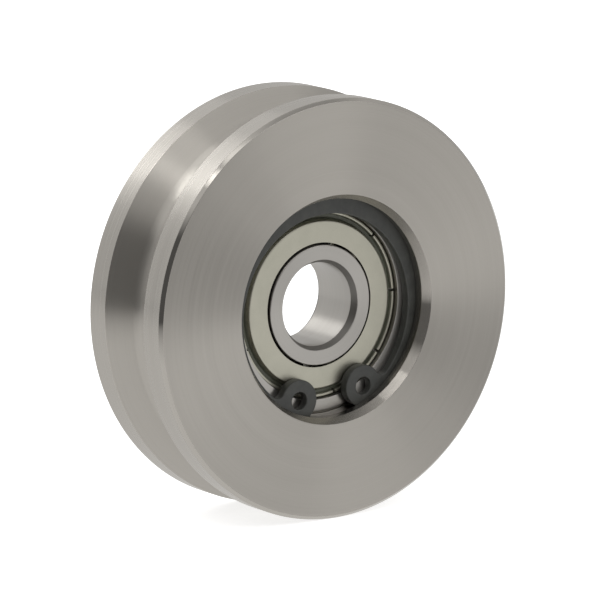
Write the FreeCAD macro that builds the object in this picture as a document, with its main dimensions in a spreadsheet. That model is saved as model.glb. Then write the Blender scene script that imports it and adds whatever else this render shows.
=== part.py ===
"""Belt roller with a rounded V groove, on a shielded ball bearing that a retaining ring keeps in its bore.

Millimetres. The roller's centre is the origin and its axis is Y. The open recess with the retaining ring
faces -Y and +Z is up. Every size is a cell of the sheet, and each piece takes its sizes and its place
from those cells.
"""
import FreeCAD, Part
import os
import re

import Sketcher
from FreeCAD import Placement, Rotation, Vector

# Driving sizes: name, value and meaning
SIZES = [
    ("roller_diameter", 50, "outside of the two lands"),
    ("roller_width", 15, "front face to rear face"),
    ("rim_chamfer", 0.4, "45 degree edge of each land"),
    ("groove_opening", 8, "belt groove, land to land"),
    ("groove_angle", 90, "included angle of the belt groove's flanks, degrees"),
    ("groove_root_radius", 2.25, "round at the bottom of the belt groove"),
    ("mouth_lead", 0.65, "lead-in at the front of the bore, on the radius"),
    ("mouth_depth", 1.1, "length of the lead-in"),
    ("shoulder_height", 2, "rear lip that the bearing is pushed against"),
    ("shoulder_chamfer", 0.5, "45 degree edge of the rear opening"),
    ("bearing_bore", 10, "shaft hole of the inner ring"),
    ("bearing_outside", 26, "outside of the outer ring"),
    ("bearing_width", 8, "both rings"),
    ("seat_clearance", 0.01, "outer ring in the roller's bore, on the radius"),
    ("outer_corner", 0.4, "round on the outside of the outer ring"),
    ("bore_lead", 0.42, "lead-in at each end of the inner ring's bore, on the radius"),
    ("bore_lead_depth", 0.8, "length of each of these lead-ins"),
    ("land_chamfer", 0.15, "45 degree edge on the outside of the inner ring"),
    ("ball_diameter", 4.7625, "3/16 inch ball"),
    ("ball_count", 7, "balls, cage pockets and rivets"),
    ("ball_clearance", 0.03, "ball to the bottom of each race"),
    ("race_conformity", 0.52, "race radius as a share of the ball's diameter"),
    ("race_depth", 0.55, "race bottom to the ring's land"),
    ("cage_thickness", 0.35, "pressed strip of each cage half"),
    ("cage_strip_width", 1.6, "the strip's radial width"),
    ("pocket_clearance", 0.06, "ball in its pocket, on the radius"),
    ("rivet_diameter", 0.6, "shank of a cage rivet"),
    ("rivet_clearance", 0.02, "shank in its hole, on the radius"),
    ("rivet_head_diameter", 1.1, "foot of the tapered rivet head"),
    ("rivet_head_height", 0.25, "above the strip"),
    ("shield_thickness", 0.25, "pressed sheet"),
    ("shield_recess", 0.2, "bearing face to the shield's flat"),
    ("shield_gap", 0.25, "shield to the inner ring's land, on the radius"),
    ("shield_seat_height", 0.42, "outer land to the shield's rim, on the radius"),
    ("shield_clearance", 0.02, "rim in its seat, on the radius"),
    ("shield_flange_width", 0.95, "flat flange at the rim, on the radius"),
    ("shield_step", 0.85, "drop from the shield's flat to its flange"),
    ("shield_step_run", 0.3, "the step's slope, on the radius"),
    ("bead_width", 0.55, "crimped bead round the flange"),
    ("bead_height", 0.5, "above the flange"),
    ("bead_slope", 0.12, "each side of the bead, on the radius"),
    ("slit_count", 9, "slits through the bead of a shield"),
    ("slit_width", 0.35, "across a slit"),
    ("slit_margin", 0.05, "how far a slit runs inside the bead"),
    ("slit_turn", 2.7, "first slit from +X towards +Z, degrees"),
    ("ring_thickness", 1.2, "retaining ring"),
    ("ring_groove_depth", 0.6, "bearing seat to the bottom of the ring's groove"),
    ("ring_play", 0.05, "ring in its groove, each way"),
    ("ring_back_width", 2.5, "radial width opposite the gap"),
    ("ring_end_width", 0.9, "radial width behind the lugs"),
    ("ring_turn", 4.3, "gap from straight down towards +X, degrees"),
    ("lug_angle", 23.8, "lug from the middle of the gap, degrees"),
    ("lug_diameter", 5, "round lug about the hole, cut off by the ring's outside"),
    ("lug_hole_diameter", 2.1, "hole for the pliers"),
    ("lug_hole_inset", 2.05, "outside of the ring to the hole's centre"),
]

# Belt groove, as depths below the lands
GROOVE_APEX = "(groove_opening / 2 / tan(groove_angle / 2))"
GROOVE_CENTRE = f"({GROOVE_APEX} - groove_root_radius / sin(groove_angle / 2))"
GROOVE_TANGENT = f"({GROOVE_CENTRE} + groove_root_radius * sin(groove_angle / 2))"
GROOVE_TANGENT_REACH = "(groove_root_radius * cos(groove_angle / 2))"
GROOVE_LIP_REACH = "(groove_opening / 2 + rim_chamfer * tan(groove_angle / 2))"

# Radii and planes that several pieces share
SEAT = "(bearing_outside / 2 + seat_clearance)"
SHOULDER = "(bearing_outside / 2 - shoulder_height)"
PITCH = "((bearing_bore + bearing_outside) / 4)"
RACE = "(ball_diameter * race_conformity)"
INNER_RACE_CENTRE = f"({PITCH} - ball_diameter / 2 - ball_clearance + {RACE})"
OUTER_RACE_CENTRE = f"({PITCH} + ball_diameter / 2 + ball_clearance - {RACE})"
INNER_LAND = f"({PITCH} - ball_diameter / 2 + race_depth)"
OUTER_LAND = f"({PITCH} + ball_diameter / 2 - race_depth)"
CAGE_INSIDE = f"({PITCH} - cage_strip_width / 2)"
CAGE_OUTSIDE = f"({PITCH} + cage_strip_width / 2)"
POCKET = "(ball_diameter / 2 + pocket_clearance)"
SHIELD_BORE = f"({INNER_LAND} + shield_gap)"
SHIELD_RIM = f"({OUTER_LAND} + shield_seat_height)"
SHIELD_FLANGE = f"({SHIELD_RIM} - shield_flange_width)"
SHIELD_FLAT = f"({SHIELD_FLANGE} - shield_step_run)"
SHIELD_BEAD = f"({SHIELD_RIM} - bead_width)"
SHIELD_FLANGE_DEPTH = "(shield_recess + shield_step)"
SHIELD_SEAT_DEPTH = f"({SHIELD_FLANGE_DEPTH} + shield_thickness)"
RING_GROOVE = "(bearing_outside / 2 + ring_groove_depth)"
RING_OUTSIDE = f"({RING_GROOVE} - ring_play)"
RING_INSIDE = f"({RING_OUTSIDE} - (ring_back_width + ring_end_width) / 2)"
RING_OFFSET = "((ring_back_width - ring_end_width) / 2)"
LUG_HOLE_REACH = f"({RING_OUTSIDE} - lug_hole_inset)"

FRONT = -1
REAR = 1

# Lengths closer than this are the same
SAME = 1e-6


def cells(text):
    """An expression with every size name, a word with an underscore, pointed at its cell."""
    return re.sub(r"[a-z]+(?:_[a-z]+)+", lambda word: f"Sizes.{word.group()}", text)


def new_sheet(doc):
    """The sheet of driving sizes: name, value and meaning in columns A, B and C."""
    sheet = doc.addObject("Spreadsheet::Sheet", "Sizes")
    for row, (name, value, meaning) in enumerate(SIZES, start=1):
        sheet.set(f"A{row}", name)
        sheet.set(f"B{row}", str(value))
        sheet.set(f"C{row}", meaning)
        sheet.setAlias(f"B{row}", name)
    doc.recompute()
    return sheet


def bind(item, path, text):
    """Ties a property to an expression of the sheet's sizes."""
    item.setExpression(path, cells(text))


def new_body(doc, label):
    """An empty body whose label names its file."""
    body = doc.addObject("PartDesign::Body", label)
    body.Label = label
    return body


def origin_feature(body, role):
    """One of the body's own origin planes or axes."""
    return next(feature for feature in body.Origin.OriginFeatures if feature.Role == role)


def new_sketch(body, name, plane):
    """An empty sketch on one of the body's origin planes."""
    sketch = body.newObject("Sketcher::SketchObject", name)
    sketch.AttachmentSupport = [(origin_feature(body, plane), "")]
    sketch.MapMode = "FlatFace"
    return sketch


def at(sketch, across, up):
    """The point of a sketch that two expressions give."""
    return Vector(sketch.evalExpression(cells(across)), sketch.evalExpression(cells(up)), 0)


def tie_distance(sketch, kind, geometry, end, text):
    """Ties one distance of a point of the sketch's geometry from the sketch's origin."""
    value = sketch.evalExpression(cells(text))
    index = sketch.addConstraint(Sketcher.Constraint(kind, -1, 1, geometry, end, value))
    bind(sketch, f"Constraints[{index}]", text)


def tie_point(sketch, geometry, end, across, up):
    """Ties a point of the sketch's geometry to its two distances from the sketch's origin."""
    tie_distance(sketch, "DistanceX", geometry, end, across)
    tie_distance(sketch, "DistanceY", geometry, end, up)


def draw_circle(sketch, across, up, radius):
    """A circle tied by its centre and its radius."""
    size = sketch.evalExpression(cells(radius))
    circle = sketch.addGeometry(Part.Circle(at(sketch, across, up), Vector(0, 0, 1), size))
    tie_point(sketch, circle, 3, across, up)
    index = sketch.addConstraint(Sketcher.Constraint("Radius", circle, size))
    bind(sketch, f"Constraints[{index}]", radius)


def draw_outline(sketch, corners, arc_from=None, arc_over=None, arc_height=None):
    """A closed outline through corners, each a pair of expressions.

    The stretch from corner arc_from to the next one, level with it, is an arc that runs counter-clockwise over
    the point arc_over, with its centre at arc_height. All other stretches are straight.
    """
    points = [at(sketch, *corner) for corner in corners]
    count = len(points)
    for start in range(count):
        end = (start + 1) % count
        if start == arc_from:
            sketch.addGeometry(Part.Arc(points[start], at(sketch, *arc_over), points[end]))
        else:
            sketch.addGeometry(Part.LineSegment(points[start], points[end]))
    for start in range(count):
        sketch.addConstraint(Sketcher.Constraint("Coincident", start, 2, (start + 1) % count, 1))
    for start, corner in enumerate(corners):
        tie_point(sketch, start, 1, *corner)
    if arc_from is not None:
        tie_distance(sketch, "DistanceY", arc_from, 3, arc_height)


def turn(body, name, corners):
    """A full revolution about Y of an outline of (distance along Y, radius) corners."""
    sketch = new_sketch(body, f"{name}_section", "YZ_Plane")
    draw_outline(sketch, corners)
    revolution = body.newObject("PartDesign::Revolution", name)
    revolution.Profile = sketch
    revolution.ReferenceAxis = (sketch, ["H_Axis"])
    return revolution


def cut_round(body, sketch, name):
    """A groove turned about Y from a sketch on the YZ plane."""
    groove = body.newObject("PartDesign::Groove", name)
    groove.Profile = sketch
    groove.ReferenceAxis = (sketch, ["H_Axis"])
    confirm_cut(body, groove)


def cut_through(body, sketch, name, towards):
    """A pocket from a sketch through all that lies to one side of it: along its normal if towards is true."""
    pocket = body.newObject("PartDesign::Pocket", name)
    pocket.Profile = sketch
    pocket.Type = "ThroughAll"
    pocket.Reversed = towards
    confirm_cut(body, pocket)
    return pocket


def confirm_cut(body, feature):
    """Stops the build if a cut took nothing away."""
    body.Document.recompute()
    if feature.Shape.Volume >= feature.BaseFeature.Shape.Volume:
        raise RuntimeError(f"{feature.Name} cuts nothing")


def pad(body, sketch, name, length, reverse=False):
    """A pad of the sketch along its normal, or against it if reverse is true."""
    feature = body.newObject("PartDesign::Pad", name)
    feature.Profile = sketch
    feature.Reversed = reverse
    bind(feature, "Length", length)
    return feature


def round_ends(body, feature, name, across, radius):
    """Rounds the two circles of a turned piece that are as far across as an expression gives."""
    body.Document.recompute()
    size = feature.evalExpression(cells(across)) / 2
    edges = []
    for number, edge in enumerate(feature.Shape.Edges, start=1):
        if isinstance(edge.Curve, Part.Circle) and abs(edge.Curve.Radius - size) < SAME:
            edges.append(f"Edge{number}")
    fillet = body.newObject("PartDesign::Fillet", name)
    fillet.Base = (feature, edges)
    bind(fillet, "Radius", radius)
    confirm_cut(body, fillet)


def repeat_round(body, name, features, count):
    """The features repeated evenly about Y."""
    pattern = body.newObject("PartDesign::PolarPattern", name)
    pattern.Originals = features
    pattern.Axis = (origin_feature(body, "Y_Axis"), [""])
    pattern.Angle = 360
    bind(pattern, "Occurrences", count)
    body.Tip = pattern
    body.Document.recompute()


def make_roller_body(doc):
    """The turned roller: blank, belt groove, bearing bore up to a rear shoulder and retaining ring groove."""
    body = new_body(doc, "roller_body")
    turn(body, "roller_blank", [
        ("-roller_width / 2", SHOULDER),
        ("-roller_width / 2", "roller_diameter / 2 - rim_chamfer"),
        ("-roller_width / 2 + rim_chamfer", "roller_diameter / 2"),
        ("roller_width / 2 - rim_chamfer", "roller_diameter / 2"),
        ("roller_width / 2", "roller_diameter / 2 - rim_chamfer"),
        ("roller_width / 2", f"{SHOULDER} + shoulder_chamfer"),
        ("roller_width / 2 - shoulder_chamfer", SHOULDER),
    ])
    cut_belt_groove(body)
    cut_bearing_bore(body)
    cut_ring_groove(body)
    return body


def cut_belt_groove(body):
    """A V groove whose flanks run into a round root, drawn a little past the lands."""
    sketch = new_sketch(body, "belt_groove_section", "YZ_Plane")
    lip = "roller_diameter / 2 + rim_chamfer"
    tangent = f"roller_diameter / 2 - {GROOVE_TANGENT}"
    centre = f"roller_diameter / 2 - {GROOVE_CENTRE}"
    draw_outline(
        sketch,
        [
            (f"-{GROOVE_LIP_REACH}", lip),
            (f"-{GROOVE_TANGENT_REACH}", tangent),
            (GROOVE_TANGENT_REACH, tangent),
            (GROOVE_LIP_REACH, lip),
        ],
        arc_from=1,
        arc_over=("0", f"{centre} - groove_root_radius"),
        arc_height=centre,
    )
    cut_round(body, sketch, "belt_groove")


def cut_bearing_bore(body):
    """The bore from the tapered front mouth to the shoulder behind the bearing."""
    sketch = new_sketch(body, "bearing_bore_section", "YZ_Plane")
    inside = "bearing_bore / 2"
    draw_outline(sketch, [
        ("-roller_width / 2", inside),
        ("-roller_width / 2", f"{SEAT} + mouth_lead"),
        ("-roller_width / 2 + mouth_depth", SEAT),
        ("bearing_width / 2", SEAT),
        ("bearing_width / 2", inside),
    ])
    cut_round(body, sketch, "bearing_seat")


def cut_ring_groove(body):
    """The groove that holds the retaining ring against the bearing's front face."""
    sketch = new_sketch(body, "ring_groove_section", "YZ_Plane")
    front = "-bearing_width / 2 - ring_thickness - ring_play"
    rear = "-bearing_width / 2 + ring_play"
    draw_outline(sketch, [
        (front, SHOULDER),
        (front, RING_GROOVE),
        (rear, RING_GROOVE),
        (rear, SHOULDER),
    ])
    cut_round(body, sketch, "ring_groove")


def cut_race(body, centre):
    """The ball race: a circle a little larger than the ball, turned about Y."""
    sketch = new_sketch(body, "race_section", "YZ_Plane")
    draw_circle(sketch, "0", centre, RACE)
    cut_round(body, sketch, "race")


def make_outer_ring(doc):
    """The bearing's outer ring, stepped at both faces to seat the shields."""
    body = new_body(doc, "bearing_outer_ring")
    face = "bearing_width / 2"
    seat = f"{SHIELD_RIM} + shield_clearance"
    step = f"(bearing_width / 2 - {SHIELD_SEAT_DEPTH})"
    blank = turn(body, "outer_ring_blank", [
        (f"-{face}", seat),
        (f"-{face}", "bearing_outside / 2"),
        (face, "bearing_outside / 2"),
        (face, seat),
        (step, seat),
        (step, OUTER_LAND),
        (f"-{step}", OUTER_LAND),
        (f"-{step}", seat),
    ])
    round_ends(body, blank, "outer_corners", "bearing_outside", "outer_corner")
    cut_race(body, OUTER_RACE_CENTRE)
    return body


def make_inner_ring(doc):
    """The bearing's inner ring, which the shaft carries."""
    body = new_body(doc, "bearing_inner_ring")
    face = "bearing_width / 2"
    land_edge = "(bearing_width / 2 - land_chamfer)"
    bore_edge = "(bearing_width / 2 - bore_lead_depth)"
    bore = "bearing_bore / 2"
    turn(body, "inner_ring_blank", [
        (f"-{bore_edge}", bore),
        (f"-{face}", f"{bore} + bore_lead"),
        (f"-{face}", f"{INNER_LAND} - land_chamfer"),
        (f"-{land_edge}", INNER_LAND),
        (land_edge, INNER_LAND),
        (face, f"{INNER_LAND} - land_chamfer"),
        (face, f"{bore} + bore_lead"),
        (bore_edge, bore),
    ])
    cut_race(body, INNER_RACE_CENTRE)
    return body


def make_ball(doc, number):
    """One ball on the pitch circle; the first is at the top."""
    ball = doc.addObject("Part::Sphere", f"ball_{number}")
    ball.Label = f"ball_{number}"
    angle = f"(90 + {number - 1} * 360 / ball_count)"
    bind(ball, "Radius", "ball_diameter / 2")
    bind(ball, "Placement.Base.x", f"{PITCH} * cos{angle}")
    bind(ball, "Placement.Base.z", f"{PITCH} * sin{angle}")
    return ball


def make_cage_half(doc, label, side):
    """Half of the cage: a flat ring with a half-round pocket over each ball, riveted between the balls."""
    body = new_body(doc, label)
    front = side == FRONT
    strip = new_sketch(body, f"{label}_strip_outline", "XZ_Plane")
    draw_circle(strip, "0", "0", CAGE_INSIDE)
    draw_circle(strip, "0", "0", CAGE_OUTSIDE)
    pad(body, strip, f"{label}_strip", "cage_thickness", reverse=not front)
    wall = make_pocket_wall(body, label, side)
    room = new_sketch(body, f"{label}_room_outline", "XY_Plane")
    draw_circle(room, "0", "0", POCKET)
    void = cut_through(body, room, f"{label}_room", towards=True)
    repeat_round(body, f"{label}_pockets", [wall, void], "ball_count")
    hole = new_sketch(body, f"{label}_hole_outline", "XZ_Plane")
    angle = "(90 + 180 / ball_count)"
    radius = "rivet_diameter / 2 + rivet_clearance"
    draw_circle(hole, f"{PITCH} * cos{angle}", f"{PITCH} * sin{angle}", radius)
    rivet_hole = cut_through(body, hole, f"{label}_hole", towards=front)
    repeat_round(body, f"{label}_holes", [rivet_hole], "ball_count")
    return body


def make_pocket_wall(body, label, side):
    """The half cylinder round the top ball, its axis along Z, from the strip's inside to its outside."""
    sketch = new_sketch(body, f"{label}_wall_outline", "XY_Plane")
    bind(sketch, "AttachmentOffset.Base.z", CAGE_INSIDE)
    radius = f"({POCKET} + cage_thickness)"
    near = (f"{side} * {radius}", "0")
    far = (f"{-side} * {radius}", "0")
    draw_outline(sketch, [near, far], arc_from=0, arc_over=("0", f"{side} * {radius}"), arc_height="0")
    return pad(body, sketch, f"{label}_wall", "cage_strip_width")


def make_cage_rivets(doc, sheet):
    """The rivets that hold the two cage halves together, one between each pair of balls."""
    rivets = [make_rivet(doc, number) for number in range(1, int(sheet.ball_count) + 1)]
    group = doc.addObject("Part::Compound", "cage_rivets")
    group.Label = "cage_rivets"
    group.Links = rivets
    return group


def make_rivet(doc, number):
    """A shank through both strips with a tapered head on each side."""
    angle = f"(90 + {number - 0.5} * 360 / ball_count)"
    shank = doc.addObject("Part::Cylinder", f"rivet_{number}_shank")
    bind(shank, "Radius", "rivet_diameter / 2")
    bind(shank, "Height", "2 * cage_thickness")
    stand_on_strip(shank, angle, REAR)
    heads = []
    for name, side in (("front", FRONT), ("rear", REAR)):
        head = doc.addObject("Part::Cone", f"rivet_{number}_{name}_head")
        bind(head, "Radius1", "rivet_head_diameter / 2")
        bind(head, "Radius2", "rivet_diameter / 2")
        bind(head, "Height", "rivet_head_height")
        stand_on_strip(head, angle, side)
        heads.append(head)
    rivet = doc.addObject("Part::MultiFuse", f"rivet_{number}")
    rivet.Shapes = [shank, *heads]
    return rivet


def stand_on_strip(piece, angle, side):
    """Puts a round piece on one side's strip, between two balls: a head points away, a shank runs through."""
    away = side if piece.TypeId == "Part::Cone" else -side
    piece.Placement = Placement(Vector(), Rotation(Vector(1, 0, 0), -90 * away))
    bind(piece, "Placement.Base.x", f"{PITCH} * cos{angle}")
    bind(piece, "Placement.Base.y", f"{side} * cage_thickness")
    bind(piece, "Placement.Base.z", f"{PITCH} * sin{angle}")


def make_shield(doc, label, side):
    """A pressed shield: flat near the bearing's face, a step down to a flange and a slit bead at the rim."""
    body = new_body(doc, label)

    def at_depth(depth):
        return f"{side} * (bearing_width / 2 - {depth})"

    flat = at_depth("shield_recess")
    flat_back = at_depth("(shield_recess + shield_thickness)")
    flange = at_depth(SHIELD_FLANGE_DEPTH)
    flange_back = at_depth(SHIELD_SEAT_DEPTH)
    bead_top = at_depth(f"({SHIELD_FLANGE_DEPTH} - bead_height)")
    turn(body, f"{label}_sheet", [
        (flat, SHIELD_BORE),
        (flat, SHIELD_FLAT),
        (flange, SHIELD_FLANGE),
        (flange, SHIELD_BEAD),
        (bead_top, f"{SHIELD_BEAD} + bead_slope"),
        (bead_top, f"{SHIELD_RIM} - bead_slope"),
        (flange, SHIELD_RIM),
        (flange_back, SHIELD_RIM),
        (flange_back, f"{SHIELD_FLANGE} - shield_thickness"),
        (flat_back, f"{SHIELD_FLAT} - shield_thickness"),
        (flat_back, SHIELD_BORE),
    ])
    slit = cut_slit(body, label, side)
    repeat_round(body, f"{label}_slits", [slit], "slit_count")
    body.Placement = Placement(Vector(), Rotation(Vector(0, -1, 0), 1))
    bind(body, "Placement.Rotation.Angle", "slit_turn")
    return body


def cut_slit(body, label, side):
    """One slit through the bead, along +X."""
    sketch = new_sketch(body, f"{label}_slit_outline", "XZ_Plane")
    inner = f"{SHIELD_BEAD} - slit_margin"
    outer = f"{SHIELD_RIM} + slit_width"
    draw_outline(sketch, [
        (inner, "-slit_width / 2"),
        (outer, "-slit_width / 2"),
        (outer, "slit_width / 2"),
        (inner, "slit_width / 2"),
    ])
    return cut_through(body, sketch, f"{label}_slit", towards=side == FRONT)


def make_retaining_ring(doc):
    """The internal retaining ring: it narrows from its back towards two round lugs with holes for the pliers."""
    body = new_body(doc, "retaining_ring")
    band = new_sketch(body, "band_outline", "XZ_Plane")
    draw_circle(band, "0", "0", RING_OUTSIDE)
    draw_circle(band, "0", f"-{RING_OFFSET}", RING_INSIDE)
    pad(body, band, "band", "ring_thickness")
    cut_through(body, draw_gap(body), "gap", towards=True)
    lug = pad(body, draw_at_lug(body, "lug_outline", "lug_diameter / 2"), "lug", "ring_thickness")
    hole_outline = draw_at_lug(body, "lug_hole_outline", "lug_hole_diameter / 2")
    hole = cut_through(body, hole_outline, "lug_hole", towards=True)
    mirror = body.newObject("PartDesign::Mirrored", "other_lug")
    mirror.Originals = [lug, hole]
    mirror.MirrorPlane = (origin_feature(body, "YZ_Plane"), [""])
    body.Tip = mirror
    doc.recompute()
    trim = new_sketch(body, "lug_trim_outline", "XZ_Plane")
    draw_circle(trim, "0", "0", RING_OUTSIDE)
    draw_circle(trim, "0", "0", f"{RING_OUTSIDE} + lug_diameter")
    cut_through(body, trim, "lug_trim", towards=True)
    body.Placement = Placement(Vector(), Rotation(Vector(0, -1, 0), 1))
    bind(body, "Placement.Base.y", "-bearing_width / 2")
    bind(body, "Placement.Rotation.Angle", "ring_turn")
    return body


def draw_at_lug(body, name, radius):
    """A circle about the middle of the lug towards +X."""
    sketch = new_sketch(body, name, "XZ_Plane")
    across = f"{LUG_HOLE_REACH} * sin(lug_angle)"
    up = f"-{LUG_HOLE_REACH} * cos(lug_angle)"
    draw_circle(sketch, across, up, radius)
    return sketch


def draw_gap(body):
    """The wedge taken out of the band between the middles of the two lugs, from the axis to past the ring."""
    sketch = new_sketch(body, "gap_outline", "XZ_Plane")
    draw_outline(sketch, [
        ("0", "0"),
        (f"-{RING_GROOVE} * tan(lug_angle)", f"-{RING_GROOVE}"),
        (f"{RING_GROOVE} * tan(lug_angle)", f"-{RING_GROOVE}"),
    ])
    return sketch


def make_pieces(doc, sheet):
    """Every sub-part of the roller."""
    pieces = [
        make_roller_body(doc),
        make_outer_ring(doc),
        make_inner_ring(doc),
        make_cage_half(doc, "front_cage_half", FRONT),
        make_cage_half(doc, "rear_cage_half", REAR),
        make_cage_rivets(doc, sheet),
        make_shield(doc, "front_shield", FRONT),
        make_shield(doc, "rear_shield", REAR),
        make_retaining_ring(doc),
    ]
    pieces += [make_ball(doc, number) for number in range(1, int(sheet.ball_count) + 1)]
    return pieces


def confirm_document(doc, pieces):
    """Stops the build if any object failed or any sub-part has no valid shape."""
    for item in doc.Objects:
        if {"Invalid", "Error"} & set(item.State):
            raise RuntimeError(f"{item.Name} failed: {item.State}")
    for piece in pieces:
        if piece.Shape.isNull() or not piece.Shape.isValid():
            raise RuntimeError(f"{piece.Label} has no valid shape")


def main():
    """Builds the document, checks it and writes one file for each sub-part."""
    doc = FreeCAD.newDocument("belt_roller")
    sheet = new_sheet(doc)
    pieces = make_pieces(doc, sheet)
    doc.recompute()
    confirm_document(doc, pieces)
    os.makedirs("parts", exist_ok=True)
    for piece in pieces:
        piece.Shape.exportStep(f"parts/{piece.Label}.step")


main()
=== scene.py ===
"""Looks of the belt roller: smooth turned, pressed and blackened metal, under soft studio light."""

import bmesh
import bpy
import numpy as np
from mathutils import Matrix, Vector
from mathutils.geometry import delaunay_2d_cdt


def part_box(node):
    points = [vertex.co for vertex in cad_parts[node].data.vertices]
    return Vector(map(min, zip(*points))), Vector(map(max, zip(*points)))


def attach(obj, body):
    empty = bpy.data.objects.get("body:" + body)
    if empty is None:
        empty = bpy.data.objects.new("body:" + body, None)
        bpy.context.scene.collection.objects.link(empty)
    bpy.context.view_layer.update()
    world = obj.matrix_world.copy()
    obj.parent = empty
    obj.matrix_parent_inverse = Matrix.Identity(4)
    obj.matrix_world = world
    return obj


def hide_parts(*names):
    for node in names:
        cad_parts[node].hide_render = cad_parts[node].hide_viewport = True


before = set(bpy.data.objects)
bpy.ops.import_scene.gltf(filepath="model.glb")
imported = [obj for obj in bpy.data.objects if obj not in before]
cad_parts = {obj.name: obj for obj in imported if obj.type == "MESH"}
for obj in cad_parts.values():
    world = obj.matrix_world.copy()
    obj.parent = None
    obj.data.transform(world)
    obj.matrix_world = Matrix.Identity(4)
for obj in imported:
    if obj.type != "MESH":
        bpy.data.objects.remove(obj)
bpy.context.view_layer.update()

MM = 0.001

# Sizes that the frame gives, in metres
ROLLER_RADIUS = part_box("roller_body")[1].z
ROLLER_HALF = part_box("roller_body")[1].y
BEARING_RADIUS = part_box("bearing_outer_ring")[1].z
BEARING_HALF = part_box("bearing_outer_ring")[1].y
INNER_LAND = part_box("bearing_inner_ring")[1].z
SHIELD_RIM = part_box("front_shield")[1].z
RING_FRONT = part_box("retaining_ring")[0].y
RING_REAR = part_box("retaining_ring")[1].y
BALLS = sorted(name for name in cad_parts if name.startswith("ball_"))

# Sizes of the turned roller
RIM_CHAMFER = 0.4 * MM
GROOVE_HALF = 4 * MM
GROOVE_ROOT = 2.25 * MM
GROOVE_EDGE = 0.12 * MM
MOUTH_LEAD = 0.65 * MM
MOUTH_DEPTH = 1.1 * MM
SHOULDER = BEARING_RADIUS - 2 * MM
SHOULDER_CHAMFER = 0.5 * MM
SEAT = BEARING_RADIUS + 0.01 * MM
RING_GROOVE = BEARING_RADIUS + 0.6 * MM
RING_PLAY = 0.05 * MM
BROKEN_EDGE = 0.07 * MM
HIDDEN_EDGE = 0.03 * MM

# Sizes of the bearing
BORE = 5 * MM
BORE_LEAD = 0.42 * MM
BORE_LEAD_DEPTH = 0.8 * MM
OUTER_CORNER = 0.4 * MM
LAND_CORNER = 0.15 * MM
BEARING_EDGE = 0.05 * MM
LEAD_EDGE = 0.1 * MM
BALL_RADIUS = 2.38125 * MM
PITCH = (BORE + BEARING_RADIUS) / 2
OUTER_LAND = 2 * PITCH - INNER_LAND
RACE_HALF_WIDTH = 1.593 * MM
RACE_CORNER = 1.337 * MM
RACE_ROUND = 2.4 * MM
SHIELD_BORE = INNER_LAND + 0.25 * MM
SHIELD_CLEARANCE = 0.02 * MM
SHIELD_SHEET = 0.25 * MM
SHIELD_FLAT_HEIGHT = BEARING_HALF - 0.2 * MM
SHIELD_FLANGE_HEIGHT = BEARING_HALF - 1.05 * MM
SHIELD_FLANGE = SHIELD_RIM - 0.95 * MM
SHIELD_FLAT = SHIELD_FLANGE - 0.3 * MM
SHIELD_BEND = 0.13 * MM
SHIELD_FLAT_BEND = 0.22 * MM
SHIELD_EDGE = 0.04 * MM
BEAD = SHIELD_RIM - 0.55 * MM
BEAD_HEIGHT = 0.5 * MM
BEAD_SLOPE = 0.12 * MM
BEAD_ROUND = 0.15 * MM
SLITS = 9
SLIT_WIDTH = 0.35 * MM
SLIT_TURN = np.radians(2.7)

# Sizes of the retaining ring
RING_OUTSIDE = RING_GROOVE - RING_PLAY
RING_INSIDE = RING_OUTSIDE - 1.7 * MM
RING_OFFSET = 0.8 * MM
RING_EDGE_ROUND = 0.12 * MM
RING_TURN = np.radians(4.3)
LUG_ANGLE = np.radians(23.8)
LUG_ROUND = 2.5 * MM
LUG_ROOT = 0.9 * MM
LUG_HOLE = 1.05 * MM
LUG_HOLE_REACH = RING_OUTSIDE - 2.05 * MM

# Finish of each kind of cut: roughness and share of the metal's colour
FACE_CUT = (0.38, 1)
FLANK_CUT = (0.35, 1)
ROOT_CUT = (0.30, 0.98)
LAND_CUT = (0.28, 0.97)
EDGE_CUT = (0.10, 0.94)
MOUTH_CUT = (0.20, 0.95)
ENTRY_CUT = (0.16, 0.9)
BORED = (0.36, 1)
GROUND = (0.30, 0.95)
BORE_GROUND = (0.33, 1)
UNGROUND = (0.45, 0.6)
LAPPED = (0.12, 1)

# Colours of each metal, at the low and at the high end of its noise
ROLLER_STEEL = (0.434, 0.411, 0.375), (0.448, 0.425, 0.389)
GROUND_STEEL = (0.412, 0.395, 0.368), (0.432, 0.415, 0.388)
SHIELD_STEEL = (0.428, 0.418, 0.347), (0.490, 0.474, 0.398)
# Painted shade for the shields' deep channel: its dark and light colours, which aren't metal
SHIELD_PAINTED_SHADE = (0.10, 0.104, 0.076), (0.16, 0.166, 0.121)
CAGE_STEEL = (0.30, 0.29, 0.25), (0.40, 0.39, 0.345)
BLACK_OXIDE = (0.034, 0.035, 0.032), (0.062, 0.064, 0.057)
GREASED_STEEL = (0.36, 0.35, 0.32), (0.2, 0.18, 0.13)

# Plain colour and roughness, where the nodes that replace them aren't read
BLACK_PLAIN = (0.03, 0.031, 0.03), 0.42
GREASED_PLAIN = (0.3, 0.28, 0.24), 0.2

# Numbers of the mix node's sockets for colours, which share their names with others
MIX_COLOURS = (6, 7)
MIX_RESULT = 2

# Noise: scale and detail of each kind, its roughness and the range that it mostly keeps to
FINE_MARKS = (1.0, 3.0)
BROAD_MARKS = (1.0, 2.0)
CLOUD = (400, 3.0)
GRAIN = (6000, 2.0)
BLOOM = (700, 4.0)
BLACK_GRAIN = (5000, 2.0)
FILM = (900, 3.0)
NOISE_ROUGHNESS = 0.6
NOISE_RANGE = (0.3, 0.7)

# Tool marks: their change round the axis, the share of y that counts as radius, how many fine ones make a
# broad one, the share of fine ones in the look, and the roughness of dark and of light ones against the cut's
MARK_TURN = 0.5
MARK_SLANT = 0.37
FINE_IN_BROAD = 8
FINE_SHARE = 0.8
MARK_GLOSS = (1.06, 0.94)

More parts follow.
